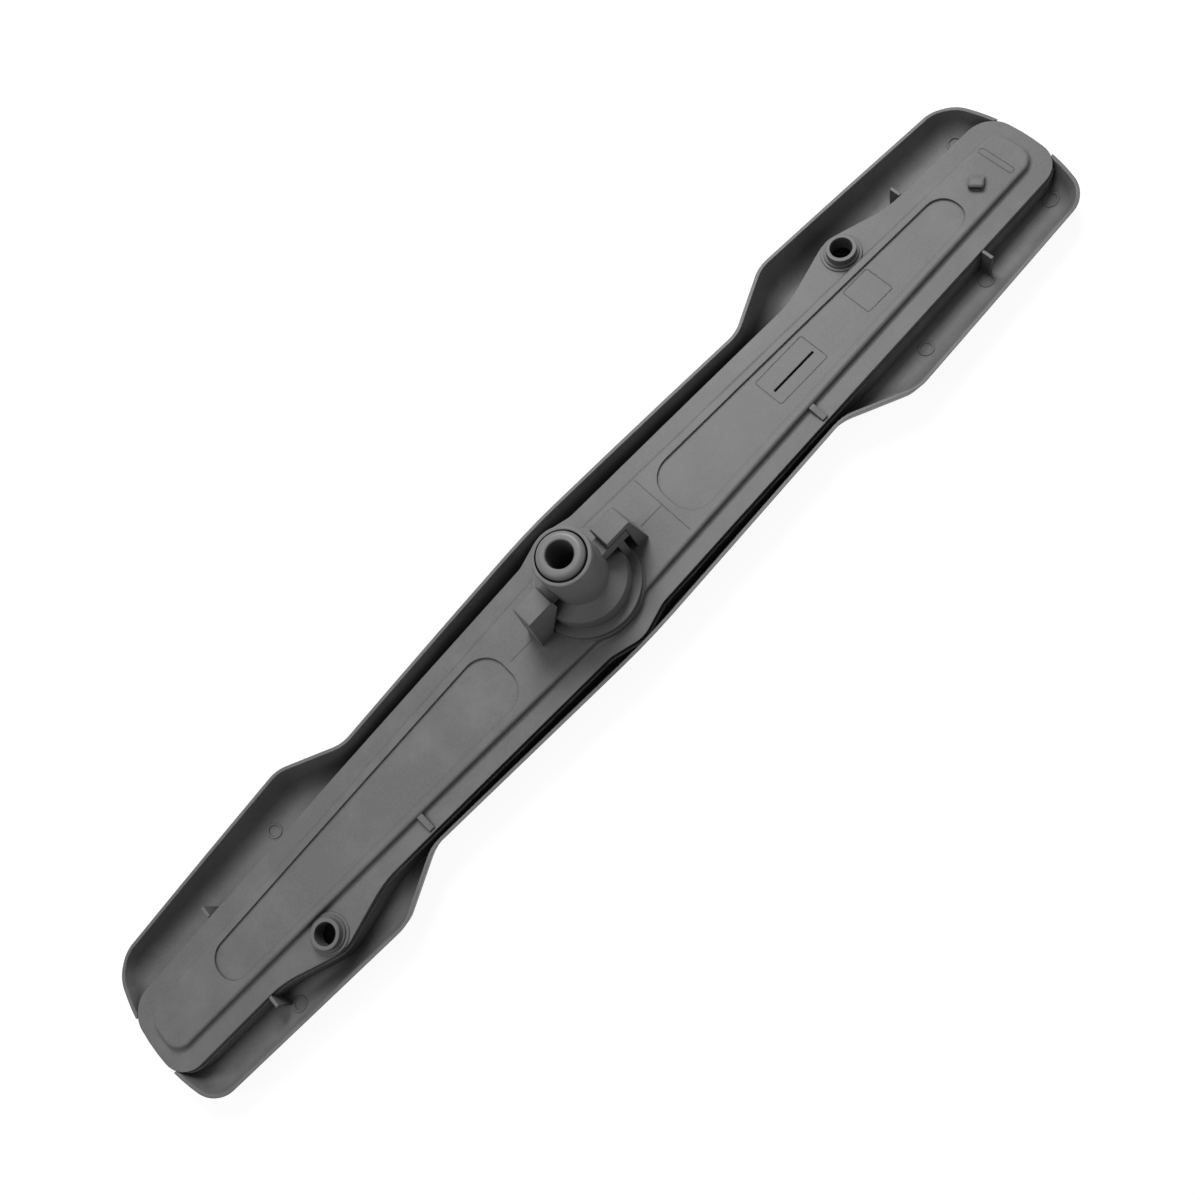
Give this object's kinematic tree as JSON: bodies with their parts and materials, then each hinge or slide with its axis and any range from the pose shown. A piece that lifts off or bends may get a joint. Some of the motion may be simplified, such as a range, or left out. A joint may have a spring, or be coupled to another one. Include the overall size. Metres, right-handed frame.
{
  "type": "dishwasher spray arm",
  "caption": "Long water-fed spray arm with wide dished ends, jets along its length and a hub sleeve in which it turns freely about a feed tube.",
  "frame": {"origin": "on the hub's axis, at the level of the spray face on which the arm lies", "axes": "+X along the arm towards the end with the slit jet and the drive jet, +Z along the hub's axis, out of the feed tube's mouth"},
  "size_m": [0.465, 0.078, 0.0558],
  "materials": {
    "arm_plastic": "satin grey, fine moulded grain",
    "bearing_plastic": "smooth, slightly darker grey"
  },
  "bodies": {
    "bearing": {"bearing_tube": "bearing_plastic", "thrust_washer": "bearing_plastic"},
    "arm": {"upper_spray_shell": "arm_plastic", "lower_channel_cover": "arm_plastic", "hub_sleeve": "arm_plastic"}
  },
  "joints": [
    {"name": "arm_spin", "type": "hinge", "parent": "bearing", "child": "arm", "pos_m": [0, 0, 0.03715], "axis": [0, 0, 1], "continuous": true}
  ]
}
